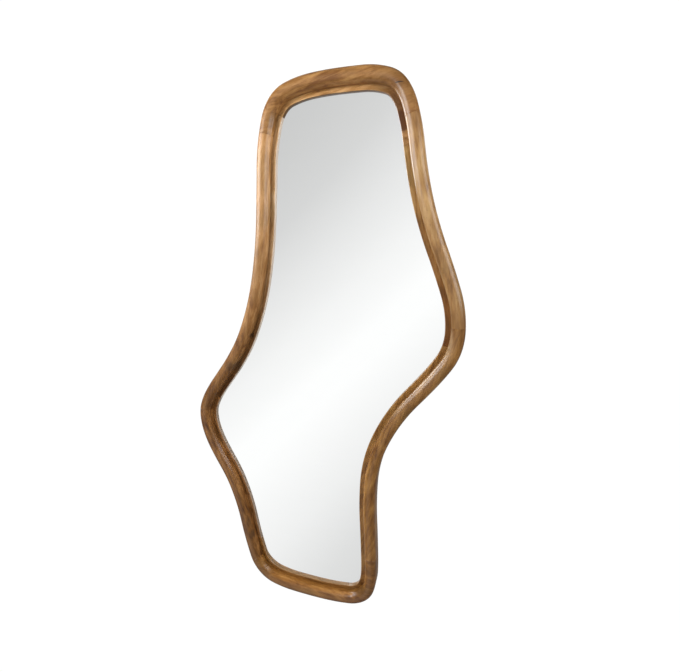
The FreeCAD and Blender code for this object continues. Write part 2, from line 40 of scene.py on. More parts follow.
# The camera: right of the mirror's middle and above it, looking at a point on the pane, in metres.
CAMERA_PLACE = Vector((0.2853, -0.7973, 0.2487))
CAMERA_AIM = Vector((0.0526, -0.0200, 0.0815))
LENS_MM = 20.0
SENSOR_MM = 36.0
CLIP_NEAR = 0.05
CLIP_FAR = 60.0

# The outline of the frame, in millimetres, as the solids have it: half width and half height, the
# edge's stations as shares of these, each with its heading in degrees in an outline drawn this
# share as wide as it is high, and the share of the edge where each segment's bead starts. Its back
# layer and lip start one lap further on.
HALF_WIDTH = 313.0
HALF_HEIGHT = 600.0
OUTLINE_SHARES = (
    (0.150, 1.000, 0), (0.490, 0.981, -20), (0.650, 0.879, -73), (0.731, 0.669, -78),
    (0.862, 0.447, -68), (1.000, 0.175, -90), (0.928, 0.044, -123), (0.737, -0.087, -130),
    (0.454, -0.439, -93), (0.469, -0.771, -88), (0.453, -0.905, -105), (0.265, -0.988, -170),
    (-0.028, -1.000, -180), (-0.387, -0.985, -194), (-0.608, -0.869, -254),
    (-0.767, -0.542, -249), (-0.918, -0.388, -243), (-1.000, -0.231, -270),
    (-0.925, -0.118, -303), (-0.768, -0.007, -307), (-0.595, 0.145, -293),
    (-0.422, 0.559, -274), (-0.352, 0.881, -286), (-0.183, 0.979, -342),
)
DRAWN_WIDTH_SHARE = 0.522
SEGMENT_SHARES = {
    "upper_right_stile": 0.069, "lower_right_stile": 0.205, "bottom_rail": 0.408,
    "lower_left_stile": 0.564, "upper_left_stile": 0.708, "top_rail": 0.928,
}
LAP = 50.0

# The section of the frame, in millimetres: across from the outer edge, and up from its back.
WALL_GAP = 6.0
FACE = 39.5
DEPTH = 39.0
BEAD = 28.0
VALLEY = 2.0
VALLEY_FLOOR = 16.0
LIP_EDGE = 20.0
LIP_ROUND = 1.5
SIDE_POINT = 12.0
BACK_ROUND = 3.0
BACK_ARRIS = 0.4
GLASS_FRONT = 14.0
GLASS_REBATE = 8.0
BOARD_REBATE = 16.0
BOARD_SHOULDER = 8.0

# How finely the mesh follows them. In millimetres: an edge at a seam is drawn in by the ease over
# the run, rings are at most a step apart, and the joint of two arcs gets a ring only where it is
# further than the gap from both ends. An arc whose half turn is below STRAIGHT counts as straight.
SEAM_EASE = 0.35
SEAM_RUN = 0.45
STEP = 4.0
END_GAP = 1.0
BEAD_STEPS = 28
ROUND_STEPS = 6
STRAIGHT = 1e-9
SHARP_DEGREES = 32.0


# The outer edge, as arcs that meet without a corner.

def heading_vector(angle):
    return Vector((math.cos(angle), math.sin(angle)))


def arc_pair(start, heading, end, end_heading):
    """Two arcs between two stations, each as (start, heading, length, curvature)."""
    leave = heading_vector(heading)
    arrive = heading_vector(end_heading)
    gap = end - start
    along = gap.dot(leave + arrive)
    bend = 1.0 - leave.dot(arrive)
    reach = (math.sqrt(along * along + 2.0 * bend * gap.dot(gap)) - along) / (2.0 * bend)
    middle = (start + leave * reach + end - arrive * reach) * 0.5
    pair = []
    for first, last, tangent, side in ((start, middle, leave, 1), (middle, end, arrive, -1)):
        chord = last - first
        cross = tangent.x * chord.y - tangent.y * chord.x
        half_turn = math.asin(side * cross / chord.length)
        curvature = 2.0 * math.sin(half_turn) / chord.length
        length = 2.0 * half_turn / curvature if abs(half_turn) > STRAIGHT else chord.length
        pair.append((first, math.atan2(chord.y, chord.x) - half_turn, length, curvature))
    return pair


def edge_arcs():
    stretch = HALF_WIDTH / HALF_HEIGHT / DRAWN_WIDTH_SHARE
    stations = []
    for across, up, degrees in OUTLINE_SHARES:
        drawn = heading_vector(math.radians(degrees))
        heading = math.atan2(drawn.y, drawn.x * stretch)
        stations.append((Vector((across * HALF_WIDTH, up * HALF_HEIGHT)), heading))
    arcs = []
    for index, (place, heading) in enumerate(stations):
        next_place, next_heading = stations[(index + 1) % len(stations)]
        arcs += arc_pair(place, heading, next_place, next_heading)
    return arcs


ARCS = edge_arcs()
EDGE_LENGTH = sum(arc[2] for arc in ARCS)


def edge_at(run):
    """Place and inward direction on the outer edge, this run from the top, clockwise."""
    run = run % EDGE_LENGTH
    for start, heading, length, curvature in ARCS:
        if run <= length:
            break
        run -= length
    half_turn = curvature * run / 2.0
    chord = run if abs(half_turn) < STRAIGHT else 2.0 * math.sin(half_turn) / curvature
    place = start + heading_vector(heading + half_turn) * chord
    return place, heading_vector(heading + curvature * run - math.pi / 2.0)


def runs_between(first, last):
    """Runs no more than a step apart, with a ring where two arcs meet."""
    meetings = []
    run = 0.0
    for arc in ARCS + ARCS:
        meetings.append(run)
        run += arc[2]
    between = [run for run in meetings if first + END_GAP < run < last - END_GAP]
    marks = [first] + between + [last]
    runs = [first]
    for low, high in zip(marks, marks[1:]):
        pieces = max(1, math.ceil((high - low) / STEP))
        runs += [low + (high - low) * number / pieces for number in range(1, pieces + 1)]
    return runs


# The section, as two chains of points that together run anticlockwise round it.

def rounded_chain(corners):
    """Points along corners, each (across, height, radius), with the radius drawn as an arc."""
    points = []
    for index, (x, y, radius) in enumerate(corners):
        corner = Vector((x, y))
        if not radius:
            points.append(corner)
            continue
        before = (Vector(corners[index - 1][:2]) - corner).normalized()
        after = (Vector(corners[(index + 1) % len(corners)][:2]) - corner).normalized()
        half = math.acos(max(-1.0, min(1.0, before.dot(after)))) / 2.0
        reach = radius / math.tan(half)
        centre = corner + (before + after).normalized() * (radius / math.sin(half))
        first = corner + before * reach - centre
        last = corner + after * reach - centre
        side = 1.0 if first.x * last.y - first.y * last.x > 0 else -1.0
        for step in range(ROUND_STEPS + 1):
            angle = side * (math.pi - 2.0 * half) * step / ROUND_STEPS
            cos, sin = math.cos(angle), math.sin(angle)
            spoke = Vector((first.x * cos - first.y * sin, first.x * sin + first.y * cos))
            points.append(centre + spoke)
    return points


def back_chain():
    """The back layer, from the outer side at lap height round the back to the foot of the bead."""
    return rounded_chain((
        (0.0, VALLEY_FLOOR, 0), (0.0, SIDE_POINT, 0), (0.0, 0.0, BACK_ROUND),
        (FACE - BOARD_REBATE, 0.0, BACK_ARRIS), (FACE - BOARD_REBATE, BOARD_SHOULDER, 0),
        (FACE - GLASS_REBATE, BOARD_SHOULDER, 0), (FACE - GLASS_REBATE, GLASS_FRONT, 0),
        (FACE, GLASS_FRONT, 0), (FACE, LIP_EDGE, LIP_ROUND),
        (BEAD + VALLEY, VALLEY_FLOOR, 0), (BEAD, VALLEY_FLOOR, 0),
    ))


def bead_chain():
    """The bead, from its foot in the valley over its crown to the outer side at lap height."""
    radius = BEAD / 2.0
    points = [Vector((BEAD, VALLEY_FLOOR))]
    for step in range(BEAD_STEPS + 1):
        angle = math.pi * step / BEAD_STEPS
        x = radius + radius * math.cos(angle)
        points.append(Vector((x, DEPTH - radius + radius * math.sin(angle))))
    points.append(Vector((0.0, VALLEY_FLOOR)))
    return points


def eased(chain):
    """The chain drawn in a little, its ends apart, for the eased edge at a seam."""
    moved = [chain[0]]
    for before, point, after in zip(chain, chain[1:], chain[2:]):
        along = (after - before).normalized()
        moved.append(point + Vector((-along.y, along.x)) * SEAM_EASE)
    return moved + [chain[-1]]


BACK = back_chain()
CROWN = bead_chain()


class SegmentMesh:
    """Points and faces of one segment, built from rings of its section."""

    def __init__(self):
        self.points = []
        self.sections = []
        self.faces = []

    def ring(self, run, chain):
        place, inward = edge_at(run)
        first = len(self.points)
        for across, height in chain:
            flat = place + inward * across
            self.points.append(Vector((flat.x, -(WALL_GAP + height), flat.y)) * MM)
            self.sections.append((run * MM, across * MM, height * MM))
        return list(range(first, first + len(chain)))

    def join(self, rings):
        for one, two in zip(rings, rings[1:]):
            for index in range(len(one)):
                after = (index + 1) % len(one)
                self.faces.append((one[index], two[index], two[after], one[after]))

    def cap(self, loop):
        self.faces.append(tuple(loop))


def segment_object(name, start, end):
    """One closed mesh: the bead runs from seam to seam, the back layer one lap further on."""
    build = SegmentMesh()
    inner_back = BACK[1:-1]

    bead_rings = [build.ring(start, eased(CROWN)), build.ring(start + SEAM_RUN, CROWN)]
    for run in runs_between(start + SEAM_RUN, start + LAP)[1:]:
        bead_rings.append(build.ring(run, CROWN))
    build.join(bead_rings)
    build.cap(bead_rings[0])

    crown = bead_rings[-1]
    back = build.ring(start + LAP, eased(BACK)[1:-1])
    build.cap([crown[-1]] + back + [crown[0]])
    loops = [crown + back]
    for run in runs_between(start + LAP + SEAM_RUN, end - SEAM_RUN):
        loops.append(build.ring(run, CROWN) + build.ring(run, inner_back))
    crown = build.ring(end, eased(CROWN))
    back = build.ring(end, inner_back)
    loops.append(crown + back)
    build.join(loops)
    build.cap(crown)

    back_rings = [[crown[-1]] + back + [crown[0]]]
    for run in runs_between(end, end + LAP - SEAM_RUN)[1:]:
        back_rings.append(build.ring(run, BACK))
    back_rings.append(build.ring(end + LAP, eased(BACK)))
    build.join(back_rings)
    build.cap(list(reversed(back_rings[-1])))

    mesh = bpy.data.meshes.new(name)
    mesh.from_pydata(build.points, [], build.faces)
    section = mesh.attributes.new("section", "FLOAT_VECTOR", "POINT")
    section.data.foreach_set("vector", [value for item in build.sections for value in item])
    mesh.polygons.foreach_set("use_smooth", [True] * len(mesh.polygons))
    mesh.set_sharp_from_angle(angle=math.radians(SHARP_DEGREES))
    mesh.validate()
    piece = bpy.data.objects.new(name, mesh)
    bpy.context.scene.collection.objects.link(piece)
    return piece


# Short ways to build node trees.

def opaque(colour):
    return (*colour, 1.0)


class Tree:
    """Builds the nodes of a material or of the world. A number or a node's output is an input."""

    def __init__(self, owner):
        owner.use_nodes = True
        self.tree = owner.node_tree
        self.tree.nodes.clear()

    def node(self, kind, inputs=None, **settings):
        made = self.tree.nodes.new(kind)
        for name, value in settings.items():
            setattr(made, name, value)
        for key, value in (inputs or {}).items():
            if isinstance(value, bpy.types.NodeSocket):
                self.tree.links.new(value, made.inputs[key])
            else:
                made.inputs[key].default_value = value
        return made

    def math(self, operation, *values):
        inputs = dict(enumerate(values))
        return self.node("ShaderNodeMath", inputs, operation=operation).outputs[0]

    def total(self, first, *others):
        for other in others:
            first = self.math("ADD", first, other)
        return first

    def product(self, first, *others):
        for other in others:
            first = self.math("MULTIPLY", first, other)
        return first

    def mix(self, share, first, second, blend="MIX"):
        inputs = {0: share, 6: first, 7: second}
        made = self.node("ShaderNodeMix", inputs, data_type="RGBA", blend_type=blend)
        return made.outputs[2]

    def tinted(self, colour, tint, share=1.0):
        return self.mix(share, colour, tint, blend="MULTIPLY")

    def ramp(self, value, stops):
        """A colour ramp. A stop's colour can be one number, for a grey."""
        made = self.node("ShaderNodeValToRGB", {0: value})
        elements = made.color_ramp.elements
        while len(elements) < len(stops):
            elements.new(0.5)
        for element, (position, colour) in zip(elements, stops):
            element.position = position
            element.color = opaque(colour if isinstance(colour, tuple) else (colour,) * 3)
        return made.outputs[0]

    def mapped(self, vector, place=(0, 0, 0), turn=(0, 0, 0), scale=(1, 1, 1)):
        inputs = {"Vector": vector, "Location": place, "Rotation": turn, "Scale": scale}
        return self.node("ShaderNodeMapping", inputs).outputs[0]

    def noise(self, vector, scale=1.0, detail=3.0, roughness=0.55, distortion=0.0):
        inputs = {"Vector": vector, "Scale": scale, "Detail": detail,
                  "Roughness": roughness, "Distortion": distortion}
        return self.node("ShaderNodeTexNoise", inputs).outputs[0]

    def cells(self, vector, scale):
        inputs = {"Vector": vector, "Scale": scale}
        return self.node("ShaderNodeTexVoronoi", inputs).outputs[0]

    def spread(self, value, low, high, new_low=0.0, new_high=1.0, smooth=True):
        inputs = {0: value, 1: low, 2: high, 3: new_low, 4: new_high}
        kind = "SMOOTHSTEP" if smooth else "LINEAR"
        return self.node("ShaderNodeMapRange", inputs, interpolation_type=kind).outputs[0]

    def split(self, vector):
        return self.node("ShaderNodeSeparateXYZ", {0: vector}).outputs

    def bump(self, height, strength, distance):
        inputs = {"Height": height, "Strength": strength, "Distance": distance}
        return self.node("ShaderNodeBump", inputs).outputs[0]

    def surface(self, **inputs):
        names = {key.replace("_", " "): value for key, value in inputs.items()}
        shader = self.node("ShaderNodeBsdfPrincipled", names)
        self.node("ShaderNodeOutputMaterial", {"Surface": shader.outputs[0]})


def new_material(name):
    material = bpy.data.materials.new(name)
    tree = Tree(material)
    return material, tree, tree.node("ShaderNodeTexCoord").outputs["Object"]


# Wood. Each noise has its waves per metre along the grain and twice across it, then its detail,
# roughness and distortion.

WOOD_NOISES = {
    "wander": ((5.0, 16.0, 16.0), 3.0, 0.55, 0.0),
    "cloud": ((16.0, 55.0, 55.0), 3.0, 0.6, 0.5),
    "patch": ((9.0, 20.0, 20.0), 2.0, 0.5, 0.3),
    "streak": ((22.0, 130.0, 130.0), 3.0, 0.6, 0.4),
    "fibre": ((24.0, 420.0, 420.0), 4.0, 0.6, 0.0),
    "ripple": ((20.0, 90.0, 90.0), 0.0, 0.5, 0.0),
    "pore": ((120.0, 2000.0, 2000.0), 1.0, 0.5, 0.0),
    "speck": ((110.0, 300.0, 300.0), 2.0, 0.5, 0.0),
}

# How they add up. A range is the stretch of a noise that is spread from 0 to 1 or, where it has
# four values, between the last two.
RINGS_PER_METRE = 115.0
RING_WANDER = 0.045
RING_RISE = (0.35, 0.86)
RING_FALL = (1.0, 0.9)
RING_FADE = (0.38, 0.62, 0.15, 1.0)
CLOUD_SHARE = 0.42
STREAK_SHARE = 0.36
FIBRE_SHARE = 0.22
RING_DARKNESS = 0.032
FIGURE_RANGE = (0.385, 0.605)
OLIVE_RANGE = (0.50, 0.70, 0.0, 0.45)
PORE_RANGE = (0.62, 0.72)
PORE_STRENGTH = 0.40
PORE_COLOUR = (0.060, 0.027, 0.011)
SPECK_RANGE = (0.67, 0.76)
SPECK_STRENGTH = 0.55
SPECK_COLOUR = (0.075, 0.032, 0.012)

# Zones of the section, in millimetres across it or up from its back, and the heights in metres
# over which the bead's foot gets painted light, lighter lower down. The lip's tints are given
# without this painted light.
FOOT_RANGE = (BEAD - 7.0, BEAD - 1.0)
LIP_RANGE = (BEAD - 0.4, BEAD + 0.6)
WALL_RANGE = (FACE - 0.7, FACE - 0.1)
FOOT_LIGHT_HEIGHTS = (-0.08, -0.24)
FOOT_LIGHT_TINT = (1.45, 1.47, 1.45)
FOOT_LIGHT_UNDO_TINT = (0.69, 0.68, 0.69)
# Painted shade in the valley: its middle and its spread across the section and the heights over
# which it fades out upwards, in millimetres, then its unevenness and its colour.
VALLEY_SHADE_MIDDLE = BEAD + 0.5
VALLEY_SHADE_SPREAD = (2.5, 0.5)
VALLEY_SHADE_HEIGHTS = (22.0, 17.0)
VALLEY_SHADE_UNEVEN = (0.3, 0.7, 0.5, 1.0)
VALLEY_SHADE_COLOUR = (0.080, 0.030, 0.006)

# The lacquer.
GLOSS_RANGE = (0.3, 0.7, 0.32, 0.44)
RIPPLE_STRENGTH = 0.08
RIPPLE_DEPTH = 0.0005
LACQUER = {"Specular_IOR_Level": 0.30, "IOR": 1.45, "Coat_Weight": 0.30, "Coat_Roughness": 0.22}

# A mark is full within this share of its reach.
MARK_EDGE = 0.35

NO_TINT = (1.0, 1.0, 1.0)


def in_metres(lengths):
    return tuple(length * MM for length in lengths)


def near_point(tree, place, centre, reach):
    """1 near a point in metres, falling to 0 at the reach, which has a length for each axis."""
    offset = tree.node("ShaderNodeVectorMath", {0: place, 1: centre}, operation="SUBTRACT")
    scaled = tree.node("ShaderNodeVectorMath", {0: offset.outputs[0], 1: reach}, operation="DIVIDE")
    length = tree.node("ShaderNodeVectorMath", {0: scaled.outputs[0]}, operation="LENGTH")
    return tree.spread(length.outputs["Value"], 1.0, MARK_EDGE)


def wood_figure(tree, noises, board):
    """The figure: soft clouds, streaks and fibres, less the growth rings round the log's middle."""
    depth, across = tree.split(board)[1:]
    side = tree.total(across, tree.product(noises["wander"], RING_WANDER))
    squares = tree.total(tree.product(side, side), tree.product(depth, depth))
    ring = tree.math("FRACT", tree.product(tree.math("SQRT", squares), RINGS_PER_METRE))
    ring_line = tree.product(tree.spread(ring, *RING_RISE), tree.spread(ring, *RING_FALL))
    ring_share = tree.product(ring_line, tree.spread(noises["wander"], *RING_FADE))
    figure = tree.total(tree.product(noises["cloud"], CLOUD_SHARE),
                        tree.product(noises["streak"], STREAK_SHARE),
                        tree.product(noises["fibre"], FIBRE_SHARE))
    return tree.math("SUBTRACT", figure, tree.product(ring_share, RING_DARKNESS))


def wood(name, grain_degrees, seed, tones, olive, fade, tone_and_light_factors, lip_tone_and_light_factors, wall_painted_light_and_shade, valley_shades,
         marks):
    """Lacquered hardwood of one board. The comment above BOARDS explains its values."""
    material, tree, place = new_material(name)
    board = tree.mapped(place, place=seed, turn=(0.0, math.radians(grain_degrees), 0.0))
    noises = {}
    for kind, (waves, detail, roughness, distortion) in WOOD_NOISES.items():
        noises[kind] = tree.noise(tree.mapped(board, scale=waves), detail=detail,
                                  roughness=roughness, distortion=distortion)

    level = tree.spread(wood_figure(tree, noises, board), *FIGURE_RANGE, smooth=False)
    dark, middle, light = tones
    colour = tree.ramp(level, ((0.0, dark), (0.5, middle), (1.0, light)))
    colour = tree.mix(tree.spread(noises["patch"], *OLIVE_RANGE), colour, opaque(olive))

    # Each board's colour changes with height, partly as the board's own tone and partly as painted
    # light and shade: the upper stiles grow lighter and whiter towards the top, where more light
    # falls, and on the upper left stile this is a painted highlight.
    world_height = tree.split(place)[2]
    rise = tree.spread(world_height, *fade, smooth=False)
    colour = tree.tinted(colour, tree.mix(rise, opaque(tone_and_light_factors[0]), opaque(tone_and_light_factors[1])))

    # Pores are short dark dashes along the grain, and specks are larger.
    pores = tree.product(tree.spread(noises["pore"], *PORE_RANGE), PORE_STRENGTH)
    colour = tree.mix(pores, colour, opaque(PORE_COLOUR))
    specks = tree.product(tree.spread(noises["speck"], *SPECK_RANGE), SPECK_STRENGTH)
    colour = tree.mix(specks, colour, opaque(SPECK_COLOUR))

    # Painted light: the bead's foot is lighter lower down, as if lit on its inner flank. The lip
    # and its wall have tints of their own, which also hold painted light and shade.
    section = tree.node("ShaderNodeAttribute", attribute_name="section").outputs["Vector"]
    inward, height = tree.split(section)[1:]
    on_foot = tree.spread(inward, *in_metres(FOOT_RANGE))
    foot_light = tree.product(on_foot, tree.spread(world_height, *FOOT_LIGHT_HEIGHTS))
    colour = tree.tinted(colour, opaque(FOOT_LIGHT_TINT), foot_light)
    # The lip's tints are partly its own tone and partly painted light and shade; the foot's painted
    # light is taken off it again.
    lip_tone_and_light = tree.mix(rise, opaque(lip_tone_and_light_factors[0]), opaque(lip_tone_and_light_factors[1]))
    foot_light_undo = tree.mix(foot_light, opaque(NO_TINT), opaque(FOOT_LIGHT_UNDO_TINT))
    on_lip = tree.spread(inward, *in_metres(LIP_RANGE))
    colour = tree.tinted(colour, tree.tinted(lip_tone_and_light, foot_light_undo), on_lip)
    # The lip's wall has a colour of painted light and shade: pale on the left stiles and the bottom
    # rail, whose walls face the light, and dark on the top rail, whose wall faces down.
    colour = tree.mix(tree.spread(inward, *in_metres(WALL_RANGE)), colour, opaque(wall_painted_light_and_shade))

    # Painted shade: the valley between bead and lip is darkened, unevenly, where shade falls.
    aside = tree.math("ABSOLUTE", tree.math("SUBTRACT", inward, VALLEY_SHADE_MIDDLE * MM))
    valley_shade = tree.product(tree.spread(aside, *in_metres(VALLEY_SHADE_SPREAD)),
                         tree.spread(height, *in_metres(VALLEY_SHADE_HEIGHTS)),
                         tree.spread(noises["cloud"], *VALLEY_SHADE_UNEVEN),
                         tree.spread(world_height, *fade, *valley_shades, smooth=False))
    colour = tree.mix(valley_shade, colour, opaque(VALLEY_SHADE_COLOUR))
    # Marks: knots, flecks and dark patches of the wood, and in some places painted shade and
    # painted light.
    for centre, reach, strength, tint in marks:
        share = tree.product(near_point(tree, place, centre, reach), strength)
        colour = tree.mix(share, colour, opaque(tint))

    normal = tree.bump(noises["ripple"], RIPPLE_STRENGTH, RIPPLE_DEPTH)
    gloss = tree.spread(noises["fibre"], *GLOSS_RANGE)
    tree.surface(Base_Color=colour, Roughness=gloss, Normal=normal, **LACQUER)
    return material


# Colours of the marks: the first three are the wood's own, the shaded one is painted shade, and the
# last is painted light on the bead's foot.
KNOT = (0.030, 0.013, 0.006)
RED_BROWN = (0.125, 0.045, 0.013)
DARK_EDGE = (0.060, 0.032, 0.014)
SHADED = (0.115, 0.052, 0.012)
PAINTED_FOOT_LIGHT = (0.400, 0.260, 0.135)

# The boards. The seed is the board's place in the log. The tones run from the dark of the figure to
# the light between. The fade is two heights in metres, and the tints, lip tints and strengths of
# valley shade are each given at these two. The tints and lip tints are partly the wood's own tone
# and partly painted light and shade, the valley shade is painted shade, and the wall's colour is
# painted light and shade. A mark is a place and its reach on each axis in metres, a strength and a
# colour. A strength above 1 gives a harder edge, and each mark lies over the last.
BOARDS = {
    "top_rail": {
        "grain_degrees": 12.0, "seed": (0.31, 0.055, 0.14),
        "tones": ((0.172, 0.068, 0.015), (0.305, 0.142, 0.039), (0.420, 0.218, 0.072)),
        "olive": (0.215, 0.115, 0.038),
        "fade": (0.40, 0.60), "tone_and_light_factors": (NO_TINT, NO_TINT),
        "lip_tone_and_light_factors": ((1.38, 1.56, 2.00), (1.38, 1.56, 2.00)),
        "wall_painted_light_and_shade": (0.10, 0.045, 0.008), "valley_shades": (0.16, 0.16),
        "marks": (
            # Painted shade along the top rail's upper flank.
            ((0.0300, -0.028, 0.6120), (0.1500, 0.030, 0.0300), 0.70, (0.150, 0.066, 0.017)),
            # Painted shade in the bend at the top right corner.
            ((0.1600, -0.030, 0.5450), (0.0740, 0.040, 0.0740), 0.58, (0.118, 0.050, 0.012)),
            ((0.1640, -0.024, 0.5320), (0.0300, 0.008, 0.0400), 0.60, RED_BROWN),
            ((0.1755, -0.024, 0.5000), (0.0200, 0.008, 0.0240), 2.00, RED_BROWN),
            ((0.0089, -0.025, 0.5686), (0.0080, 0.008, 0.0026), 0.75, RED_BROWN),
            # Painted shade in the bend at the top left corner.
            ((-0.0840, -0.036, 0.5216), (0.0200, 0.014, 0.0220), 0.55, SHADED),
            ((-0.0808, -0.022, 0.5251), (0.0150, 0.012, 0.0150), 0.60, SHADED),
            ((0.1710, -0.043, 0.5580), (0.0110, 0.012, 0.0014), 1.60, KNOT),
            ((-0.1064, -0.040, 0.5070), (0.0024, 0.006, 0.0024), 1.50, KNOT),
        ),
    },
    "upper_right_stile": {
        "grain_degrees": 99.0, "seed": (0.12, 0.070, 0.05),
        "tones": ((0.150, 0.066, 0.017), (0.268, 0.134, 0.041), (0.375, 0.212, 0.078)),
        "olive": (0.200, 0.115, 0.038),
        "fade": (0.10, 0.45), "tone_and_light_factors": ((0.84, 0.82, 0.78), (1.32, 1.42, 1.60)),
        "lip_tone_and_light_factors": ((0.88, 0.64, 0.40), (1.15, 1.20, 1.10)),
        "wall_painted_light_and_shade": (0.20, 0.12, 0.06), "valley_shades": (0.12, 0.16),
        "marks": (
            ((0.1930, -0.045, 0.5060), (0.0350, 0.030, 0.0450), 0.55, (0.200, 0.092, 0.026)),
            ((0.2986, -0.035, 0.1120), (0.0450, 0.040, 0.0420), 0.55, (0.185, 0.086, 0.021)),
        ),
    },
    "lower_right_stile": {
        "grain_degrees": 74.0, "seed": (0.40, 0.048, -0.07),
        "tones": ((0.120, 0.044, 0.007), (0.226, 0.100, 0.022), (0.325, 0.160, 0.044)),
        "olive": (0.172, 0.088, 0.021),
        "fade": (-0.30, 0.02), "tone_and_light_factors": ((1.00, 1.00, 0.92), (0.82, 0.82, 0.78)),
        "lip_tone_and_light_factors": ((1.20, 1.30, 1.60), (1.70, 1.84, 2.10)),
        "wall_painted_light_and_shade": (0.22, 0.13, 0.06), "valley_shades": (0.14, 0.10),
        "marks": (
            # Painted light on the bead's foot along the diagonal.
            ((0.2820, -0.0344, 0.0758), (0.0220, 0.014, 0.0500), 0.55, PAINTED_FOOT_LIGHT),
            ((0.2434, -0.0344, 0.0076), (0.0500, 0.012, 0.0500), 0.45, PAINTED_FOOT_LIGHT),
            ((0.1866, -0.0344, -0.0643), (0.0400, 0.012, 0.0400), 0.35, PAINTED_FOOT_LIGHT),
        ),
    },
    "bottom_rail": {
        "grain_degrees": 172.0, "seed": (0.22, 0.060, 0.03),
        "tones": ((0.100, 0.035, 0.005), (0.184, 0.076, 0.015), (0.268, 0.124, 0.030)),
        "olive": (0.140, 0.068, 0.015),
        "fade": (-0.60, -0.40), "tone_and_light_factors": (NO_TINT, NO_TINT),
        "lip_tone_and_light_factors": ((1.22, 1.24, 1.18), (1.22, 1.24, 1.18)),
        "wall_painted_light_and_shade": (0.27, 0.16, 0.075), "valley_shades": (0.25, 0.25),
        # Painted shade on the bead's foot near the bottom right corner.
        "marks": (((0.1106, -0.0344, -0.5460), (0.0320, 0.014, 0.0320), 0.75, SHADED),),
    },
    "lower_left_stile": {
        "grain_degrees": 112.0, "seed": (0.55, 0.052, -0.02),
        "tones": ((0.062, 0.020, 0.003), (0.152, 0.062, 0.013), (0.255, 0.118, 0.033)),
        "olive": (0.112, 0.052, 0.014),
        "fade": (-0.50, -0.15), "tone_and_light_factors": ((0.97, 0.97, 0.97), (1.08, 1.06, 1.02)),
        "lip_tone_and_light_factors": ((1.50, 1.65, 2.40), (1.50, 1.65, 2.40)),
        "wall_painted_light_and_shade": (0.31, 0.23, 0.17), "valley_shades": (0.05, 0.02),
        "marks": (
            ((-0.1797, -0.0375, -0.4557), (0.0100, 0.012, 0.0140), 0.50, DARK_EDGE),
            ((-0.1884, -0.0403, -0.4215), (0.0080, 0.010, 0.0180), 0.45, DARK_EDGE),
        ),
    },
    "upper_left_stile": {
        "grain_degrees": 80.0, "seed": (0.05, 0.066, 0.09),
        "tones": ((0.160, 0.060, 0.011), (0.285, 0.124, 0.029), (0.395, 0.198, 0.060)),
        "olive": (0.205, 0.105, 0.028),
        "fade": (-0.05, 0.40), "tone_and_light_factors": ((0.60, 0.55, 0.45), (1.52, 1.72, 2.40)),
        "lip_tone_and_light_factors": ((0.62, 0.58, 0.60), (1.28, 1.58, 2.20)),
        "wall_painted_light_and_shade": (0.56, 0.46, 0.37), "valley_shades": (0.04, 0.52),
        "marks": (
            ((-0.1620, -0.026, 0.0720), (0.0070, 0.010, 0.0120), 0.80, KNOT),
            ((-0.2130, -0.0415, -0.0062), (0.0170, 0.012, 0.0240), 0.50, DARK_EDGE),
            ((-0.2055, -0.0280, -0.0038), (0.0200, 0.014, 0.0300), 0.55, DARK_EDGE),
        ),
    },
}


def add_segments():
    """The six wooden segments, each in place of its node."""
    starts = [share * EDGE_LENGTH for share in SEGMENT_SHARES.values()]
    ends = starts[1:] + [starts[0] + EDGE_LENGTH]
    for name, start, end in zip(SEGMENT_SHARES, starts, ends):
        piece = segment_object("wood_" + name, start, end)
        piece.data.materials.append(wood("wood_" + name, **BOARDS[name]))
        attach(piece, "mirror")
        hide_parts(name)


# Materials of the nodes that keep the solids' own meshes. The hardboard's screen pattern is given
# in radians per metre.

SCREEN_WAVES = 3600.0


def mirror_material():
    """Silvered float glass, with the faintest haze of wiping."""
    material, tree, place = new_material("silvered_glass")
    haze = tree.noise(tree.mapped(place, scale=(3.0, 3.0, 9.0)),
                      scale=4.0, detail=4.0, roughness=0.6)
    rough = tree.spread(haze, 0.35, 0.75, new_low=0.004, new_high=0.018)
    tint = tree.ramp(haze, ((0.0, (0.925, 0.935, 0.930)), (1.0, (0.940, 0.947, 0.944))))
    tree.surface(Base_Color=tint, Metallic=1.0, Roughness=rough)
    return material


def steel_material():
    """Zinc-plated steel with fine drawing lines and a patchy passivation."""
    material, tree, place = new_material("zinc_steel")
    patch = tree.noise(place, scale=160.0, roughness=0.6)
    lines = tree.noise(tree.mapped(place, scale=(2600.0, 2600.0, 190.0)),
                       detail=2.0, roughness=0.5)
    colour = tree.ramp(patch, ((0.25, (0.50, 0.50, 0.49)), (0.55, (0.66, 0.65, 0.62)),
                               (0.80, (0.70, 0.66, 0.55))))
    rough = tree.spread(tree.total(patch, lines), 0.6, 1.4, new_low=0.22, new_high=0.46)
    normal = tree.bump(lines, strength=0.2, distance=0.00005)
    tree.surface(Base_Color=colour, Metallic=1.0, Roughness=rough, Normal=normal)
    return material


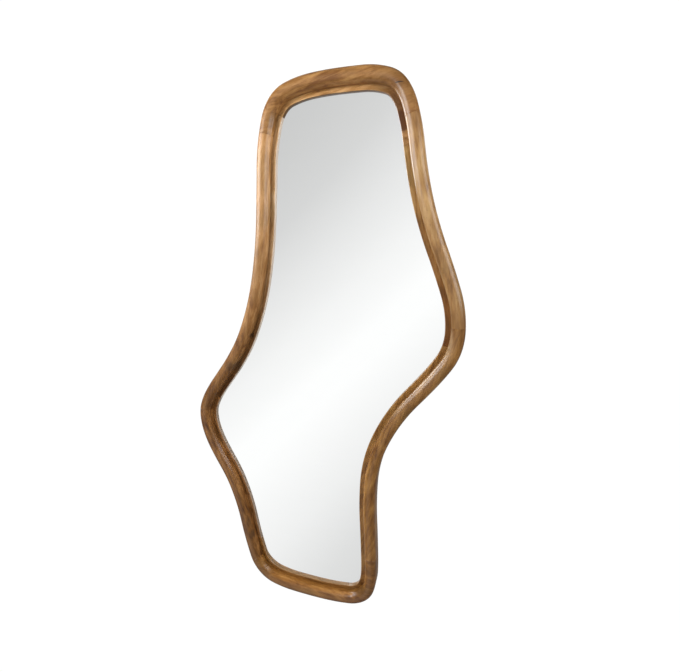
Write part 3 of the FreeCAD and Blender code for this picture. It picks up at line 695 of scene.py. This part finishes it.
def board_material():
    """Brown hardboard: pressed fibres, with the screen pattern of its rough face."""
    material, tree, place = new_material("hardboard")
    wide = tree.noise(place, scale=9.0, roughness=0.6)
    fibres = tree.noise(tree.mapped(place, scale=(420.0, 420.0, 900.0)),
                        detail=4.0, roughness=0.7, distortion=1.2)
    fleck = tree.noise(place, scale=700.0, detail=2.0, roughness=0.6)
    mixed = tree.total(tree.product(wide, 0.35), tree.product(fibres, 0.65))
    colour = tree.ramp(mixed, ((0.30, (0.115, 0.060, 0.030)), (0.50, (0.215, 0.125, 0.065)),
                               (0.72, (0.330, 0.215, 0.125))))
    light_fleck = tree.spread(fleck, 0.66, 0.74, new_high=0.5)
    colour = tree.mix(light_fleck, colour, opaque((0.45, 0.33, 0.21)))
    x, _, z = tree.split(place)
    waves = [tree.math("SINE", tree.product(axis, SCREEN_WAVES)) for axis in (x, z)]
    relief = tree.total(tree.product(*waves, 0.35), fibres)
    normal = tree.bump(relief, strength=0.5, distance=0.0002)
    tree.surface(Base_Color=colour, Roughness=0.78, Normal=normal)
    return material


def foam_material():
    """Pale foam tape with fine open cells."""
    material, tree, place = new_material("foam_tape")
    cells = tree.cells(place, scale=2200.0)
    soil = tree.noise(place, scale=60.0, roughness=0.6)
    colour = tree.ramp(soil, ((0.3, (0.66, 0.65, 0.61)), (0.7, (0.80, 0.79, 0.76))))
    normal = tree.bump(cells, strength=0.5, distance=0.0002)
    tree.surface(Base_Color=colour, Roughness=0.92, Normal=normal)
    return material


def rubber_material():
    """Black rubber, a little dusty."""
    material, tree, place = new_material("bumper_rubber")
    speck = tree.noise(place, scale=1500.0, roughness=0.65)
    dust = tree.noise(place, scale=140.0, roughness=0.6)
    colour = tree.ramp(dust, ((0.35, (0.012, 0.012, 0.012)), (0.80, (0.040, 0.039, 0.037))))
    rough = tree.spread(speck, 0.3, 0.7, new_low=0.55, new_high=0.80)
    normal = tree.bump(speck, strength=0.4, distance=0.0001)
    tree.surface(Base_Color=colour, Roughness=rough, Normal=normal)
    return material


def dowel_material():
    """Bare beech, with its growth rings and the pores of its end grain."""
    material, tree, place = new_material("beech_dowel")
    rings = tree.noise(tree.mapped(place, scale=(900.0, 12.0, 260.0)),
                       detail=2.0, roughness=0.5)
    pores = tree.cells(place, scale=2600.0)
    colour = tree.ramp(rings, ((0.30, (0.34, 0.19, 0.085)), (0.60, (0.52, 0.33, 0.17)),
                               (0.80, (0.60, 0.41, 0.23))))
    dark = tree.spread(pores, 0.16, 0.05, new_high=0.6)
    colour = tree.mix(dark, colour, opaque((0.12, 0.06, 0.025)))
    normal = tree.bump(pores, strength=0.3, distance=0.0001)
    tree.surface(Base_Color=colour, Roughness=0.7, Normal=normal)
    return material


def dress_nodes():
    steel = steel_material()
    finishes = {
        "mirror_glass": mirror_material(), "backing_board": board_material(),
        "glazing_tape": foam_material(), "wall_bumpers": rubber_material(),
        "lap_dowels": dowel_material(), "board_screws": steel, "hanger_screws": steel,
        "left_hanger_strap": steel, "right_hanger_strap": steel,
        "left_hanger_ring": steel, "right_hanger_ring": steel,
    }
    for name, material in finishes.items():
        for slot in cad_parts[name].material_slots:
            slot.material = material


# The studio, in metres: a white surround and a pale floor that only the camera sees, and softboxes,
# each with its place, the point it faces, its width and height, and its power in watts.

SURROUND_RADIUS = 9.0
SURROUND_COLUMNS = 48
SURROUND_ROWS = 24
SURROUND_GLOW = 1.05
FLOOR_RADIUS = SURROUND_RADIUS * 0.9
FLOOR_SPOKES = 96
FLOOR_HEIGHT = -1.25
FLOOR_GLOW = 1.02
GLOW_DIP = 0.995
SOFTBOXES = {
    "top_softbox": ((0.0, -0.50, 2.20), (0.0, -0.1, 0.3), 2.4, 1.6, 2.5),
    "left_softbox": ((-1.35, -0.95, 0.745), (0.0, -0.35, 0.45), 1.6, 0.70, 39.0),
    "right_softbox": ((1.40, -0.70, 0.66), (0.0, -0.35, 0.45), 1.2, 0.80, 20.0),
    "back_softbox": ((-0.6, 2.2, 1.1), (0.0, 0.0, 0.0), 3.0, 2.4, 34.0),
}

# The world, by direction. In front of the pane a band slants down to the left, white along its
# middle, and each of its stops is a value of up less right and the strength there. It fades out at
# the edges of an opening, given as right and up over forward, into a room that is dim and gets
# darker upwards.
BAND_REACH = 1.5
BAND_STOPS = (
    (-1.5, 0.35), (-1.0, 0.50), (-0.456, 0.79), (-0.30, 0.93), (-0.14, 1.02), (-0.06, 1.06),
    (0.02, 1.06), (0.10, 1.01), (0.18, 0.97), (0.26, 0.91), (0.34, 0.855), (0.42, 0.79),
    (0.50, 0.72), (0.66, 0.655), (1.0, 0.55), (1.5, 0.50),
)
OPENING_LEFT = (-1.5, -0.85)
OPENING_RIGHT = (0.8, 0.15)
OPENING_BELOW = (-2.0, -1.2)
OPENING_ABOVE = (1.1, 0.5)
LEAST_FORWARD = 0.02
ROOM_RANGE = (0.2, 0.8, 0.27, 0.10)


def set_facing(item, place, aim):
    item.location = place
    item.rotation_mode = "QUATERNION"
    item.rotation_quaternion = (Vector(aim) - Vector(place)).to_track_quat("-Z", "Y")


def stage_object(name, points, faces, material_name, glow):
    """A glowing white piece of the stage, which lights nothing and shows in no reflection."""
    mesh = bpy.data.meshes.new(name)
    mesh.from_pydata(points, [], faces)
    material = bpy.data.materials.new(material_name)
    tree = Tree(material)
    place = tree.node("ShaderNodeTexCoord").outputs["Object"]
    shade = tree.ramp(tree.noise(place, scale=3.0, detail=2.0), ((0.0, GLOW_DIP), (1.0, 1.0)))
    shader = tree.node("ShaderNodeEmission", {"Color": shade, "Strength": glow})
    tree.node("ShaderNodeOutputMaterial", {"Surface": shader.outputs[0]})
    mesh.materials.append(material)
    item = bpy.data.objects.new(name, mesh)
    bpy.context.scene.collection.objects.link(item)
    item.visible_diffuse = False
    item.visible_glossy = False
    item.visible_transmission = False
    item.visible_shadow = False


def add_stage():
    points = []
    faces = []
    for row in range(SURROUND_ROWS + 1):
        tilt = math.pi * row / SURROUND_ROWS
        for column in range(SURROUND_COLUMNS):
            turn = 2.0 * math.pi * column / SURROUND_COLUMNS
            spoke = Vector((math.sin(tilt) * math.cos(turn), math.sin(tilt) * math.sin(turn),
                            math.cos(tilt)))
            points.append(spoke * SURROUND_RADIUS)
    for row in range(SURROUND_ROWS):
        near = row * SURROUND_COLUMNS
        far = near + SURROUND_COLUMNS
        for column in range(SURROUND_COLUMNS):
            after = (column + 1) % SURROUND_COLUMNS
            faces.append((near + column, near + after, far + after, far + column))
    stage_object("surround", points, faces, "surround_white", SURROUND_GLOW)

    turns = [2.0 * math.pi * index / FLOOR_SPOKES for index in range(FLOOR_SPOKES)]
    rim = [Vector((math.cos(turn) * FLOOR_RADIUS, math.sin(turn) * FLOOR_RADIUS, FLOOR_HEIGHT))
           for turn in turns]
    stage_object("floor", rim, [tuple(range(FLOOR_SPOKES))], "floor_pale", FLOOR_GLOW)


def add_softboxes():
    for name, (place, aim, width, height, watts) in SOFTBOXES.items():
        data = bpy.data.lights.new(name, "AREA")
        data.shape = "RECTANGLE"
        data.size = width
        data.size_y = height
        data.energy = watts
        light = bpy.data.objects.new(name, data)
        set_facing(light, place, aim)
        bpy.context.scene.collection.objects.link(light)


def add_world():
    world = bpy.data.worlds.new("studio")
    bpy.context.scene.world = world
    tree = Tree(world)
    x, y, z = tree.split(tree.node("ShaderNodeTexCoord").outputs["Generated"])
    level = tree.spread(tree.math("SUBTRACT", z, x), -BAND_REACH, BAND_REACH, smooth=False)
    band = tree.ramp(level, [((at + BAND_REACH) / (2.0 * BAND_REACH), strength)
                             for at, strength in BAND_STOPS])
    forward = tree.math("MAXIMUM", tree.product(y, -1.0), LEAST_FORWARD)
    aside = tree.math("DIVIDE", x, forward)
    upward = tree.math("DIVIDE", z, forward)
    wide = tree.product(tree.spread(aside, *OPENING_LEFT), tree.spread(aside, *OPENING_RIGHT))
    tall = tree.product(tree.spread(upward, *OPENING_BELOW), tree.spread(upward, *OPENING_ABOVE))
    colour = tree.mix(tree.product(wide, tall), tree.spread(z, *ROOM_RANGE), band)
    shader = tree.node("ShaderNodeBackground", {"Color": colour, "Strength": 1.0})
    tree.node("ShaderNodeOutputWorld", {"Surface": shader.outputs[0]})


def add_camera():
    data = bpy.data.cameras.new("camera")
    data.lens = LENS_MM
    data.sensor_width = SENSOR_MM
    data.clip_start = CLIP_NEAR
    data.clip_end = CLIP_FAR
    camera = bpy.data.objects.new("camera", data)
    set_facing(camera, CAMERA_PLACE, CAMERA_AIM)
    bpy.context.scene.collection.objects.link(camera)
    bpy.context.scene.camera = camera


add_camera()
add_segments()
dress_nodes()
add_stage()
add_world()
add_softboxes()
bpy.context.scene.view_settings.view_transform = "Standard"
